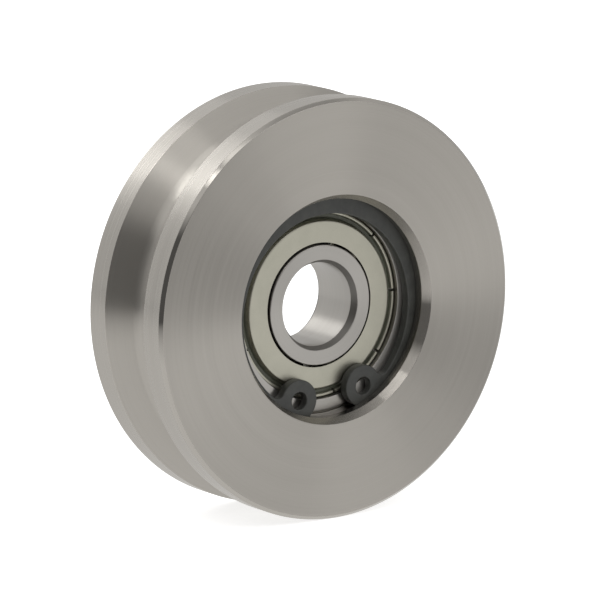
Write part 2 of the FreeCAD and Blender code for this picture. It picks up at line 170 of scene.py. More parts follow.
# Pressed sheet: the share of the cloud against the grain, the range of its roughness against the plain one,
# and the strength and depth of its grain
CLOUD_SHARE = 0.6
SHEET_GLOSS = (0.9, 1.1)
SHEET_BUMP = (0.5, 1.5e-6)

# Black oxide and greased balls: the range of their roughness, and the strength and depth of the oxide's grain
BLACK_GLOSS = (0.36, 0.5)
BLACK_BUMP = (0.6, 3e-6)
GREASED_GLOSS = (0.12, 0.3)

# Painted shade in the shields' deep channel starts and is full at these depths below the bearing's face
PAINTED_SHADE_DEPTH = (0.55 * MM, 0.85 * MM)

# Camera: angles in degrees, sensor and lens in millimetres, and how far to the right of the picture's middle
# and below it the front face's centre is seen
CAMERA_AZIMUTH = -35.36
CAMERA_ELEVATION = 11.23
CAMERA_DISTANCE = 665.6 * MM
CAMERA_SENSOR = 36
CAMERA_LENS = 341.6
CAMERA_CLIP = (0.01, 20)
FACE_RIGHT = 4.41 * MM
FACE_DOWN = 1.17 * MM

# Studio: its brightness, and what X, Y and Z of a direction add to it
ROOM = 0.79
ROOM_SLOPE = (-0.17, 0.11, 0.12)

# Dark room behind the camera: its brightness, its bearing, the cosines of its sides and the sines of its top
DARK_ROOM = 0.14
DARK_BEARING = (-0.783, -0.622)
DARK_BEARING_EDGE = (0.07, 1.0)
DARK_TOP_EDGE = (0.44, 0.62)

# Dim ceiling beam: directions of its middle and side, how dim it is, and the soft edges of its ends and sides
BEAM_MIDDLE = (0.378, -0.291, 0.879)
BEAM_SIDE = (0.284, -0.863, -0.418)
BEAM_DEPTH = 0.6
BEAM_END_EDGE = (0.91, 0.985)
BEAM_SIDE_EDGE = (0.02, 0.08)

# Floor: in the metal it fades over these distances towards the dark room, and to the eye it glows a little
FLOOR_HALF = 3.0
FLOOR_COLOUR = (0.8, 0.8, 0.8, 1)
FLOOR_FADE = (0.07, 0.23)
FLOOR_GLOW = 0.68

# Softboxes: name, direction from the roller, distance, width and height in metres, and radiance
SOFTBOXES = (
    ("top_softbox", (-0.38, -0.54, 0.75), 0.5, 0.07, 0.06, 2.3),
    ("high_softbox", (-0.18, -0.50, 0.85), 0.5, 0.12, 0.08, 0.9),
    ("over_softbox", (-0.50, 0.26, 0.83), 0.5, 0.13, 0.14, 3.5),
    ("near_softbox", (-0.37, -0.06, 0.93), 0.5, 0.10, 0.25, 2.0),
    ("front_softbox", (0.42, -0.69, 0.57), 0.5, 0.32, 0.20, 0.92),
    ("back_softbox", (-0.18, 0.80, 0.55), 0.6, 0.32, 0.20, 1.45),
    ("side_softbox", (0.14, 0.80, 0.57), 0.6, 0.24, 0.20, 0.4),
)

# Sides of the roller along Y
FRONT = -1
REAR = 1

# Steps of the meshes
TURN_STEPS = 256
CORNER_STEPS = 7
BALL_RINGS = 24
BALL_STEPS = 48
LUG_STEPS = 64
ROOT_STEPS = 12
INSIDE_STEPS = 220
OUTSIDE_STEPS = 260
HOLE_STEPS = 48
EDGE_STEPS = 5

# Points that keep the shading of a round off the flat beside it: their distance from the round, the largest
# share of a side that it takes, and on the retaining ring their inset in radii of its edge
GUARD = 0.12 * MM
GUARD_SHARE = 0.3
GUARD_INSET = 1.6

# Shading is sharp past this angle, points merge within this distance, and a shorter length counts as none
SHARP_ANGLE = np.radians(50)
MERGE = 1e-8
TINY = 1e-9


# Surfaces

def rounded_loop(corners):
    """A closed outline of corners that start with (across, up, round), each rounded by an arc of that radius.

    An arc touches both sides at radius / tan(half the corner's angle) from the corner, its centre lies on the
    corner's bisector, and its points divide the turn evenly. Each straight side gets a point close to either
    end, so that the shading of the round doesn't spread over the side.
    """
    corners = np.array([corner[:3] for corner in corners])
    points, radius = corners[:, :2], corners[:, 2:]
    back = np.roll(points, 1, axis=0) - points
    ahead = np.roll(points, -1, axis=0) - points
    back /= np.linalg.norm(back, axis=1, keepdims=True)
    ahead /= np.linalg.norm(ahead, axis=1, keepdims=True)
    half = np.arccos(np.clip((back * ahead).sum(1, keepdims=True), -1, 1)) / 2
    bisector = back + ahead
    bisector /= np.linalg.norm(bisector, axis=1, keepdims=True)
    centre = points + bisector * radius / np.sin(half)
    across = back - bisector * (back * bisector).sum(1, keepdims=True)
    across /= np.linalg.norm(across, axis=1, keepdims=True)
    sweep = np.linspace(1, -1, CORNER_STEPS)[None, :] * (np.pi / 2 - half)
    arcs = (centre[:, None] - bisector[:, None] * (radius * np.cos(sweep))[..., None]
            + across[:, None] * (radius * np.sin(sweep))[..., None])
    leave = arcs[:, -1]
    reach = np.roll(arcs[:, 0], -1, axis=0)
    side = reach - leave
    length = np.linalg.norm(side, axis=1, keepdims=True)
    share = np.minimum(GUARD_SHARE, GUARD / np.maximum(length, TINY))
    near_leave = (leave + side * share)[:, None]
    near_reach = (reach - side * share)[:, None]
    return np.concatenate([arcs, near_leave, near_reach], axis=1).reshape(-1, 2)


def grid_faces(rows, columns):
    """The quads of a grid that closes both ways: each spans one row and the next, one column and the next."""
    row, column = np.meshgrid(np.arange(rows), np.arange(columns), indexing="ij")
    next_row, next_column = (row + 1) % rows, (column + 1) % columns
    quads = [row * columns + column, next_row * columns + column,
             next_row * columns + next_column, row * columns + next_column]
    return np.stack(quads, axis=-1).reshape(-1, 4)


def grid_uv(rows, columns):
    """For each corner of those quads, its share of the way along the outline and of the way round."""
    row, column = np.meshgrid(np.arange(rows), np.arange(columns), indexing="ij")
    along = np.stack([row, row + 1, row + 1, row], axis=-1) / rows
    round_share = np.stack([column, column, column + 1, column + 1], axis=-1) / columns
    return np.stack([along, round_share], axis=-1).reshape(-1, 2)


def new_mesh(name, points, faces, uv=None, finish=None):
    """A smooth mesh of numpy points and faces, with its UV map and each face's finish if there are any."""
    mesh = bpy.data.meshes.new(name)
    mesh.from_pydata(points.tolist(), [], [list(map(int, face)) for face in faces])
    if uv is not None:
        layer = mesh.uv_layers.new(name="along_and_round")
        layer.uv.foreach_set("vector", uv.astype(np.float32).ravel())
    if finish is not None:
        cuts = mesh.attributes.new("finish", "FLOAT2", "FACE")
        cuts.data.foreach_set("vector", finish.astype(np.float32).ravel())
    mesh.shade_smooth()
    return mesh


def about_axis(y, radius, angle):
    """Points about the Y axis: x = radius cos(angle) and z = radius sin(angle), at y."""
    x, y, z = np.broadcast_arrays(radius * np.cos(angle), y, radius * np.sin(angle))
    return np.stack([x, y, z], axis=-1).reshape(-1, 3)


def turned(name, corners):
    """An outline of (y, radius) corners, rounded and turned about Y in even steps.

    A corner's fourth entry is the finish of the side that follows it and its last entry that of its round.
    """
    outline = rounded_loop(corners)
    angle = np.linspace(0, 2 * np.pi, TURN_STEPS, endpoint=False)
    points = about_axis(outline[:, :1], outline[:, 1:], angle)
    rounds = CORNER_STEPS - 1
    sides = len(outline) // len(corners) - rounds
    cuts = [[corner[-1]] * rounds + [corner[3]] * sides for corner in corners]
    finish = np.repeat(np.reshape(cuts, (-1, 2)), TURN_STEPS, axis=0)
    grid = len(outline), TURN_STEPS
    return face_outwards(new_mesh(name, points, grid_faces(*grid), grid_uv(*grid), finish))


def face_outwards(mesh):
    """Merges doubled points and turns every face of a closed mesh outwards."""
    shape = bmesh.new()
    shape.from_mesh(mesh)
    bmesh.ops.remove_doubles(shape, verts=shape.verts, dist=MERGE)
    bmesh.ops.recalc_face_normals(shape, faces=shape.faces)
    shape.to_mesh(mesh)
    shape.free()
    return mesh


def new_object(name, data):
    """A new object, linked into the scene."""
    made = bpy.data.objects.new(name, data)
    bpy.context.scene.collection.objects.link(made)
    return made


def add_piece(mesh, material, body, slot, *nodes):
    """Puts a mesh into the scene as a piece that rides on a body and stands for CAD nodes."""
    piece = new_object(mesh.name, mesh)
    mesh.materials.append(material)
    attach(piece, body)
    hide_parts(*nodes)


def roller_outline():
    """The roller's section: lands, V groove, rear shoulder, bearing seat, ring groove and front mouth."""
    ring_front = RING_FRONT - RING_PLAY
    ring_rear = RING_REAR + RING_PLAY
    return [
        (-ROLLER_HALF, SEAT + MOUTH_LEAD, BROKEN_EDGE, FACE_CUT),
        (-ROLLER_HALF, ROLLER_RADIUS - RIM_CHAMFER, BROKEN_EDGE, EDGE_CUT),
        (-ROLLER_HALF + RIM_CHAMFER, ROLLER_RADIUS, BROKEN_EDGE, LAND_CUT),
        (-GROOVE_HALF, ROLLER_RADIUS, GROOVE_EDGE, FLANK_CUT, EDGE_CUT),
        (0, ROLLER_RADIUS - GROOVE_HALF, GROOVE_ROOT, FLANK_CUT, ROOT_CUT),
        (GROOVE_HALF, ROLLER_RADIUS, GROOVE_EDGE, LAND_CUT, EDGE_CUT),
        (ROLLER_HALF - RIM_CHAMFER, ROLLER_RADIUS, BROKEN_EDGE, EDGE_CUT),
        (ROLLER_HALF, ROLLER_RADIUS - RIM_CHAMFER, BROKEN_EDGE, FACE_CUT),
        (ROLLER_HALF, SHOULDER + SHOULDER_CHAMFER, BROKEN_EDGE, EDGE_CUT),
        (ROLLER_HALF - SHOULDER_CHAMFER, SHOULDER, BROKEN_EDGE, BORED),
        (BEARING_HALF, SHOULDER, BROKEN_EDGE, BORED),
        (BEARING_HALF, SEAT, HIDDEN_EDGE, BORED),
        (ring_rear, SEAT, HIDDEN_EDGE, BORED),
        (ring_rear, RING_GROOVE, HIDDEN_EDGE, BORED),
        (ring_front, RING_GROOVE, HIDDEN_EDGE, BORED),
        (ring_front, SEAT, HIDDEN_EDGE, ENTRY_CUT),
        (-ROLLER_HALF + MOUTH_DEPTH, SEAT, BROKEN_EDGE, MOUTH_CUT),
    ]


def outer_ring_outline():
    """The outer ring's section, with its race and the steps that seat the shields."""
    seat = SHIELD_RIM + SHIELD_CLEARANCE
    step = SHIELD_FLANGE_HEIGHT - SHIELD_SHEET
    return [
        (-BEARING_HALF, seat, BEARING_EDGE, GROUND),
        (-BEARING_HALF, BEARING_RADIUS, OUTER_CORNER, GROUND),
        (BEARING_HALF, BEARING_RADIUS, OUTER_CORNER, GROUND),
        (BEARING_HALF, seat, BEARING_EDGE, GROUND),
        (step, seat, HIDDEN_EDGE, GROUND),
        (step, OUTER_LAND, HIDDEN_EDGE, GROUND),
        (RACE_HALF_WIDTH, OUTER_LAND, HIDDEN_EDGE, LAPPED),
        (0, OUTER_LAND + RACE_CORNER, RACE_ROUND, LAPPED),
        (-RACE_HALF_WIDTH, OUTER_LAND, HIDDEN_EDGE, GROUND),
        (-step, OUTER_LAND, HIDDEN_EDGE, GROUND),
        (-step, seat, HIDDEN_EDGE, GROUND),
    ]


def inner_ring_outline():
    """The inner ring's section, with its race and the bore's tapered ends, which aren't ground."""
    return [
        (-BEARING_HALF + BORE_LEAD_DEPTH, BORE, LEAD_EDGE, UNGROUND),
        (-BEARING_HALF, BORE + BORE_LEAD, LEAD_EDGE, GROUND),
        (-BEARING_HALF, INNER_LAND, LAND_CORNER, GROUND),
        (-RACE_HALF_WIDTH, INNER_LAND, HIDDEN_EDGE, LAPPED),
        (0, INNER_LAND - RACE_CORNER, RACE_ROUND, LAPPED),
        (RACE_HALF_WIDTH, INNER_LAND, HIDDEN_EDGE, GROUND),
        (BEARING_HALF, INNER_LAND, LAND_CORNER, GROUND),
        (BEARING_HALF, BORE + BORE_LEAD, LEAD_EDGE, UNGROUND),
        (BEARING_HALF - BORE_LEAD_DEPTH, BORE, LEAD_EDGE, BORE_GROUND),
    ]


def shield_outline(side):
    """The pressed shield's section: flat, step, flange and bead, one sheet thick."""
    flat = side * SHIELD_FLAT_HEIGHT
    flange = side * SHIELD_FLANGE_HEIGHT
    sheet = side * SHIELD_SHEET
    bead = side * BEAD_HEIGHT
    return [
        (flat, SHIELD_BORE, SHIELD_EDGE),
        (flat, SHIELD_FLAT, SHIELD_FLAT_BEND),
        (flange, SHIELD_FLANGE, SHIELD_BEND),
        (flange, BEAD, SHIELD_EDGE),
        (flange + bead, BEAD + BEAD_SLOPE, BEAD_ROUND),
        (flange + bead, SHIELD_RIM - BEAD_SLOPE, BEAD_ROUND),
        (flange, SHIELD_RIM, SHIELD_EDGE),
        (flange - sheet, SHIELD_RIM, SHIELD_EDGE),
        (flange - sheet, SHIELD_FLANGE - SHIELD_SHEET, SHIELD_BEND),
        (flat - sheet, SHIELD_FLAT - SHIELD_SHEET, SHIELD_BEND),
        (flat - sheet, SHIELD_BORE, SHIELD_EDGE),
    ]


def slit_angles():
    """Angles round a shield: even steps, and each slit's two sides twice, for the bead and for the slit.

    Returns the angles in order and, for each, whether it belongs to a slit.
    """
    middles = SLIT_TURN + np.arange(SLITS) * 2 * np.pi / SLITS
    half = SLIT_WIDTH / 2 / SHIELD_RIM
    sides = middles[:, None] + np.array([-half, -half, half, half])
    steps = TURN_STEPS // SLITS
    between = middles[:, None] + half + np.arange(1, steps) / steps * (2 * np.pi / SLITS - 2 * half)
    angles = np.concatenate([sides, between], axis=1).ravel()
    in_slit = np.tile(np.r_[False, True, True, False, np.zeros(steps - 1, bool)], SLITS)
    return angles, in_slit


def shield_mesh(name, side):
    """A shield's section turned about Y, with the bead cut back to its foot in each slit.

    In a slit no radius passes the bead's foot and no point stands proud of the flange, so the columns at a
    slit's two sides make its walls.
    """
    outline = rounded_loop(shield_outline(side))
    angle, in_slit = slit_angles()
    flange = side * SHIELD_FLANGE_HEIGHT
    back = flange - side * SHIELD_SHEET
    y, radius = outline[:, :1] + 0 * angle, outline[:, 1:] + 0 * angle
    cut = in_slit & (radius > BEAD)
    y = np.where(cut, np.clip(y, min(flange, back), max(flange, back)), y)
    points = about_axis(y, np.where(cut, BEAD, radius), angle)
    mesh = new_mesh(name, points, grid_faces(*y.shape), grid_uv(*y.shape))
    face_outwards(mesh)
    mesh.set_sharp_from_angle(angle=SHARP_ANGLE)
    return mesh


def ball_mesh(name, node):
    """A ball about its node's centre: rings of latitude about Y, closed by a fan at either pole."""
    low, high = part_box(node)
    centre = np.array((low + high) / 2)
    rings, steps = BALL_RINGS, BALL_STEPS
    latitude = np.linspace(-np.pi / 2, np.pi / 2, rings + 2)[1:-1, None]
    angle = np.linspace(0, 2 * np.pi, steps, endpoint=False)
    directions = about_axis(np.sin(latitude), np.cos(latitude), angle)
    points = centre + BALL_RADIUS * np.concatenate([directions, [[0, -1, 0], [0, 1, 0]]])
    quads = grid_faces(rings, steps)[:(rings - 1) * steps]
    step = np.arange(steps)
    after = (step + 1) % steps
    last_ring = (rings - 1) * steps
    south = np.stack([step, after, np.full(steps, rings * steps)], axis=-1)
    north = np.stack([last_ring + after, last_ring + step, np.full(steps, rings * steps + 1)], axis=-1)
    return face_outwards(new_mesh(name, points, [*quads, *south, *north]))


# The retaining ring

def arc(centre, radius, start, end, steps):
    """Points of a circle about a centre in (x, z), from one angle to another."""
    angle = np.linspace(start, end, steps)
    return centre + radius * np.stack([np.cos(angle), np.sin(angle)], axis=-1)


def angle_of(vector):
    """The angle of a vector in (x, z), counted from +X towards +Z."""
    return np.arctan2(vector[1], vector[0])


def lug_centre():
    """The hole of the lug towards +X, in (x, z), with the gap straight down."""
    return LUG_HOLE_REACH * np.array([np.sin(LUG_ANGLE), -np.cos(LUG_ANGLE)])


def ring_end():
    """The ring's end towards +X: from the outside round the lug's circle and through its root to the inside.

    The lug starts where its circle crosses the outside. The root's arc touches the lug's circle and the
    inside circle, so its centre lies at the sum of the radii from the one and at their difference from the
    other. Returns the end's points and the angle at which the inside starts.
    """
    lug, middle = lug_centre(), np.array([0, -RING_OFFSET])
    from_lug, from_middle = LUG_ROUND + LUG_ROOT, RING_INSIDE - LUG_ROOT
    apart = np.linalg.norm(lug - middle)
    ahead = (lug - middle) / apart
    along = (from_middle ** 2 - from_lug ** 2 + apart ** 2) / (2 * apart)
    aside = np.array([-ahead[1], ahead[0]]) * np.sqrt(from_middle ** 2 - along ** 2)
    root = middle + ahead * along + aside
    share = (RING_OUTSIDE ** 2 + LUG_HOLE_REACH ** 2 - LUG_ROUND ** 2) / (2 * RING_OUTSIDE * LUG_HOLE_REACH)
    foot_angle = LUG_ANGLE - np.arccos(share)
    foot = RING_OUTSIDE * np.array([np.sin(foot_angle), -np.cos(foot_angle)])
    round_end = arc(lug, LUG_ROUND, angle_of(foot - lug) + 2 * np.pi, angle_of(root - lug), LUG_STEPS)
    fillet = arc(root, LUG_ROOT, angle_of(lug - root), angle_of(root - middle), ROOT_STEPS)[1:-1]
    return np.concatenate([round_end, fillet]), angle_of(root - middle)


def ring_outline():
    """The ring's closed outline in (x, z), with metal on its right.

    It runs along one end, the inside, the other end and the outside. The inside is a circle set off towards
    the gap, so the band narrows from its back to its ends.
    """
    end, inside_start = ring_end()
    inside = arc(np.array([0, -RING_OFFSET]), RING_INSIDE, inside_start, np.pi - inside_start, INSIDE_STEPS)
    other_end = end[::-1] * [-1, 1]
    foot = angle_of(end[0])
    outside = arc(np.zeros(2), RING_OUTSIDE, np.pi - foot, foot, OUTSIDE_STEPS)[1:-1]
    return np.concatenate([end, inside, other_end, outside])


def edge_rows(loop, first):
    """The rounded edge of a plate along a closed loop in (x, z) that has metal on its right.

    Each row moves the loop towards the metal and along Y on a quarter circle at either face, after one row
    that lies flat in the face. Returns the points, the quads and the indices of the first and the last row.
    """
    ahead = np.roll(loop, -1, axis=0) - np.roll(loop, 1, axis=0)
    ahead /= np.linalg.norm(ahead, axis=1, keepdims=True)
    inward = np.stack([ahead[:, 1], -ahead[:, 0]], axis=-1)
    sweep = np.linspace(0, np.pi / 2, EDGE_STEPS)
    quarter = 1 - np.sin(sweep)
    inset = np.r_[GUARD_INSET, quarter, quarter[::-1], GUARD_INSET] * RING_EDGE_ROUND
    rise = np.r_[0, 1 - np.cos(sweep)] * RING_EDGE_ROUND
    y = np.r_[RING_FRONT + rise, (RING_REAR - rise)[::-1]]
    moved = loop + inward * inset[:, None, None]
    points = np.stack([moved[..., 0], y[:, None] + 0 * moved[..., 0], moved[..., 1]], axis=-1)
    rows, columns = moved.shape[:2]
    quads = grid_faces(rows, columns)[:(rows - 1) * columns] + first
    indices = first + np.arange(rows * columns).reshape(rows, columns)
    return points.reshape(-1, 3), quads, indices[0], indices[-1]


def flat_fill(points, loops):
    """Triangles of a flat face between closed loops of points, without those inside a hole.

    The first loop is the outline. A triangle with all its corners on one of the round others lies in that
    hole.
    """
    ids = np.concatenate(loops)
    sizes = [len(loop) for loop in loops]
    starts = np.cumsum([0] + sizes)
    edges = [(int(start + i), int(start + (i + 1) % len(loop)))
             for start, loop in zip(starts, loops) for i in range(len(loop))]
    flat = points[ids][:, [0, 2]]
    inside_only = 1
    filled = delaunay_2d_cdt([Vector(point) for point in flat], edges, [], inside_only, TINY)
    _, _, found, origins, _, _ = filled
    triangles = np.array([[origins[corner][0] for corner in face] for face in found])
    owner = np.repeat(np.arange(len(loops)), sizes)[triangles]
    in_hole = (owner[:, 0] > 0) & (owner == owner[:, :1]).all(axis=1)
    return ids[triangles[~in_hole]]


def ring_mesh(name):
    """The retaining ring: rounded along its outline and its holes, flat between them, turned to its place."""
    lug = lug_centre()
    holes = [arc(lug * [hand, 1], LUG_HOLE, 0, 2 * np.pi, HOLE_STEPS + 1)[:-1] for hand in (1, -1)]
    points, faces, fronts, rears = [], [], [], []
    for loop in [ring_outline(), *holes]:
        row_points, quads, front, rear = edge_rows(loop, sum(map(len, points)))
        points.append(row_points)
        faces.extend(quads)
        fronts.append(front)
        rears.append(rear)
    points = np.concatenate(points)
    faces.extend(flat_fill(points, fronts))
    faces.extend(flat_fill(points, rears))
    cos, sin = np.cos(RING_TURN), np.sin(RING_TURN)
    x, z = points[:, 0] * cos - points[:, 2] * sin, points[:, 0] * sin + points[:, 2] * cos
    return face_outwards(new_mesh(name, np.stack([x, points[:, 1], z], axis=-1), faces))


# Finishes

def new_finish(name, colour, roughness, metallic=1.0):
    """A material with a plain metal shader; returns the material, its node tree and the shader."""
    material = bpy.data.materials.new(name)
    material.use_nodes = True
    tree = material.node_tree
    shader = tree.nodes["Principled BSDF"]
    shader.inputs["Base Color"].default_value = (*colour, 1)
    shader.inputs["Metallic"].default_value = metallic
    shader.inputs["Roughness"].default_value = roughness
    return material, tree, shader


def new_node(tree, kind, inputs=(), **settings):
    """A node with its settings; inputs gives values, or sockets to link, by the input's name or number."""
    made = tree.nodes.new(kind)
    for name, value in settings.items():
        setattr(made, name, value)
    for key, value in dict(inputs).items():
        if isinstance(value, bpy.types.NodeSocket):
            tree.links.new(value, made.inputs[key])
        else:
            made.inputs[key].default_value = value
    return made


def math(tree, operation, first, second=0.0):
    """A number worked out from two numbers or sockets."""
    return new_node(tree, "ShaderNodeMath", {0: first, 1: second}, operation=operation).outputs[0]


def dot(tree, first, second):
    """The dot product of two vectors or sockets."""
    made = new_node(tree, "ShaderNodeVectorMath", {0: first, 1: second}, operation="DOT_PRODUCT")
    return made.outputs["Value"]


def hypotenuse(tree, first, second):
    """The square root of the sum of two squares."""
    squares = [math(tree, "MULTIPLY", part, part) for part in (first, second)]
    return math(tree, "SQRT", math(tree, "ADD", *squares))


def blend(tree, first, second, share):
    """A share of the first number plus the rest of the second."""
    return math(tree, "ADD", math(tree, "MULTIPLY", first, share), math(tree, "MULTIPLY", second, 1 - share))


def own_place(tree):
    """The place on the object, in metres."""
    return new_node(tree, "ShaderNodeTexCoord").outputs["Object"]


def split(tree, vector):
    """A vector's X, Y and Z."""
    return new_node(tree, "ShaderNodeSeparateXYZ", {0: vector}).outputs


def turning_place(tree, across):
    """A place for noise that follows the lathe tool.

    Two coordinates are the direction from the axis, and the third is radius plus a share of y. So noise runs
    on for a while round the axis and changes quickly across the cut, as set by across.
    """
    parts = split(tree, own_place(tree))
    radius = hypotenuse(tree, parts["X"], parts["Z"])
    run = math(tree, "ADD", radius, math(tree, "MULTIPLY", parts["Y"], MARK_SLANT))
    joined = {
        "X": math(tree, "MULTIPLY", math(tree, "DIVIDE", parts["X"], radius), MARK_TURN),
        "Y": math(tree, "MULTIPLY", math(tree, "DIVIDE", parts["Z"], radius), MARK_TURN),
        "Z": math(tree, "MULTIPLY", run, across),
    }
    return new_node(tree, "ShaderNodeCombineXYZ", joined).outputs[0]


def ramp(tree, value, low, high, start=NOISE_RANGE[0], end=NOISE_RANGE[1]):
    """A value taken from one range to another and held at its ends."""
    inputs = {"Value": value, "From Min": start, "From Max": end, "To Min": low, "To Max": high}
    return new_node(tree, "ShaderNodeMapRange", inputs).outputs[0]


def noise(tree, place, scale, detail):
    """Soft noise at a place."""
    inputs = {"Vector": place, "Scale": scale, "Detail": detail, "Roughness": NOISE_ROUGHNESS}
    return new_node(tree, "ShaderNodeTexNoise", inputs).outputs[0]


def tint(tree, share, first, second):
    """A colour between two colours or sockets by a share."""
    inputs = {0: share}
    for key, colour in zip(MIX_COLOURS, (first, second)):
        inputs[key] = colour if isinstance(colour, bpy.types.NodeSocket) else (*colour, 1)
    return new_node(tree, "ShaderNodeMix", inputs, data_type="RGBA").outputs[MIX_RESULT]


def roughen(tree, shader, height, strength, depth):
    """A bump of some depth in metres on a shader."""
    bump = new_node(tree, "ShaderNodeBump", {"Height": height, "Strength": strength, "Distance": depth})
    tree.links.new(bump.outputs[0], shader.inputs["Normal"])


def cut_steel(name, dark, light, anisotropy, marks, depth):
    """Steel cut or ground in rings about the axis, with fine marks in bump, tone and gloss.

    The gloss is drawn out across the marks. marks is how many of them lie in a metre, and depth how deep they
    are in metres. Each face's finish gives its roughness and its share of the metal's colour.
    """
    material, tree, shader = new_finish(name, light, FACE_CUT[0])
    shader.inputs["Anisotropic"].default_value = anisotropy
    fine = noise(tree, turning_place(tree, marks), *FINE_MARKS)
    broad = noise(tree, turning_place(tree, marks / FINE_IN_BROAD), *BROAD_MARKS)
    both = blend(tree, fine, broad, FINE_SHARE)
    finish = new_node(tree, "ShaderNodeAttribute", attribute_name="finish").outputs["Vector"]
    roughness, share, _ = split(tree, finish)
    metal = tint(tree, ramp(tree, both, 0, 1), dark, light)
    tree.links.new(tint(tree, share, (0, 0, 0), metal), shader.inputs["Base Color"])
    gloss = math(tree, "MULTIPLY", roughness, ramp(tree, both, *MARK_GLOSS))
    tree.links.new(gloss, shader.inputs["Roughness"])
    roughen(tree, shader, fine, strength=1.0, depth=depth)
    across = new_node(tree, "ShaderNodeTangent", direction_type="UV_MAP", uv_map="along_and_round")
    tree.links.new(across.outputs[0], shader.inputs["Tangent"])
    return material


def pressed_steel(name, dark, light, roughness, painted_shade=None):
    """Sheet steel from a press: a soft mottle and fine grain with no direction.

    Painted shade, where its dark and light colours are given, darkens what lies deep.
    """
    material, tree, shader = new_finish(name, light, roughness)
    place = own_place(tree)
    cloud = noise(tree, place, *CLOUD)
    grain = noise(tree, place, *GRAIN)
    mottle = ramp(tree, blend(tree, cloud, grain, CLOUD_SHARE), 0, 1)
    clean = tint(tree, mottle, dark, light)
    tree.links.new(clean, shader.inputs["Base Color"])
    # Painted shade darkens the deep channel
    if painted_shade:
        lay_painted_shade(tree, shader, place, clean, tint(tree, mottle, *painted_shade))
    gloss = [roughness * share for share in SHEET_GLOSS]
    tree.links.new(ramp(tree, grain, *gloss), shader.inputs["Roughness"])
    roughen(tree, shader, grain, *SHEET_BUMP)
    return material


def lay_painted_shade(tree, shader, place, clean, painted_shade):
    """Painted shade, which isn't metal, over what lies deep below the bearing's face: a dark tint for the
    shade in the channel.
    """
    height = math(tree, "ABSOLUTE", split(tree, place)["Y"])
    deep = ramp(tree, math(tree, "SUBTRACT", BEARING_HALF, height), 0, 1, *PAINTED_SHADE_DEPTH)
    tree.links.new(tint(tree, deep, clean, painted_shade), shader.inputs["Base Color"])
    tree.links.new(math(tree, "SUBTRACT", 1.0, deep), shader.inputs["Metallic"])


def black_oxide(name):
    """Blackened spring steel: near black, with a soft sheen and a faint grey bloom."""
    material, tree, shader = new_finish(name, *BLACK_PLAIN, metallic=0.0)
    place = own_place(tree)
    bloom = noise(tree, place, *BLOOM)
    grain = noise(tree, place, *BLACK_GRAIN)
    tree.links.new(tint(tree, ramp(tree, bloom, 0, 1), *BLACK_OXIDE), shader.inputs["Base Color"])
    tree.links.new(ramp(tree, bloom, *BLACK_GLOSS), shader.inputs["Roughness"])
    roughen(tree, shader, grain, *BLACK_BUMP)
    return material


def polished_steel(name):
    """A lapped ball under a film of grease, thick in some places."""
    material, tree, shader = new_finish(name, *GREASED_PLAIN)
    film = noise(tree, own_place(tree), *FILM)
    tree.links.new(tint(tree, ramp(tree, film, 0, 1), *GREASED_STEEL), shader.inputs["Base Color"])
    tree.links.new(ramp(tree, film, *GREASED_GLOSS), shader.inputs["Roughness"])
    return material


# The object's pieces

def add_roller():
    """The turned roller."""
    steel = cut_steel("turned_roller_steel", *ROLLER_STEEL, anisotropy=1.0, marks=9000, depth=0.03e-6)
    add_piece(turned("roller", roller_outline()), steel, "roller", "turned_steel", "roller_body")


def add_bearing():
    """The bearing's rings, shields, balls and cage."""
    ground = cut_steel("ground_ring_steel", *GROUND_STEEL, anisotropy=0.8, marks=16000, depth=0.2e-6)
    # The shields carry painted shade in their deep channel
    sheet = pressed_steel("pressed_shield_steel", *SHIELD_STEEL, roughness=0.40, painted_shade=SHIELD_PAINTED_SHADE)
    cage = pressed_steel("pressed_cage_steel", *CAGE_STEEL, roughness=0.32)
    polish = polished_steel("polished_ball_steel")
    outer = turned("outer_ring", outer_ring_outline())
    inner = turned("inner_ring", inner_ring_outline())
    add_piece(outer, ground, "roller", "bearing_steel", "bearing_outer_ring")
    add_piece(inner, ground, "hub", "bearing_steel", "bearing_inner_ring")
    add_piece(shield_mesh("shield_front", FRONT), sheet, "roller", "shield_steel", "front_shield")
    add_piece(shield_mesh("shield_rear", REAR), sheet, "roller", "shield_steel", "rear_shield")
    for name in BALLS:
        add_piece(ball_mesh(f"lapped_{name}", name), polish, name, "ball_steel", name)
    for name in ("front_cage_half", "rear_cage_half", "cage_rivets"):
        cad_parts[name].data.materials.clear()
        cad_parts[name].data.materials.append(cage)


def add_retaining_ring():
    """The blackened retaining ring in its groove."""
    black = black_oxide("black_oxide_spring_steel")
    add_piece(ring_mesh("lugged_ring"), black, "roller", "black_spring_steel", "retaining_ring")


# The studio

def floor_finish(name):
    """Pale: it keeps the shadow, glows a little to the eye and fades into the dark room in the metal."""
    material = bpy.data.materials.new(name)
    material.use_nodes = True
    tree = material.node_tree
    tree.nodes.clear()
    diffuse = new_node(tree, "ShaderNodeBsdfDiffuse", {"Color": FLOOR_COLOUR})
    path = new_node(tree, "ShaderNodeLightPath").outputs
    strength = math(tree, "MULTIPLY", path["Is Camera Ray"], FLOOR_GLOW)
    glow = new_node(tree, "ShaderNodeEmission", {"Strength": strength})
    lit = new_node(tree, "ShaderNodeAddShader", {0: diffuse.outputs[0], 1: glow.outputs[0]})
    towards = dot(tree, own_place(tree), (*DARK_BEARING, 0))
    fade = ramp(tree, towards, 1.0, DARK_ROOM, *FLOOR_FADE)
    mirrored = new_node(tree, "ShaderNodeEmission", {"Strength": fade})
    seen = {0: path["Is Glossy Ray"], 1: lit.outputs[0], 2: mirrored.outputs[0]}
    both = new_node(tree, "ShaderNodeMixShader", seen)
    new_node(tree, "ShaderNodeOutputMaterial", {"Surface": both.outputs[0]})
    return material


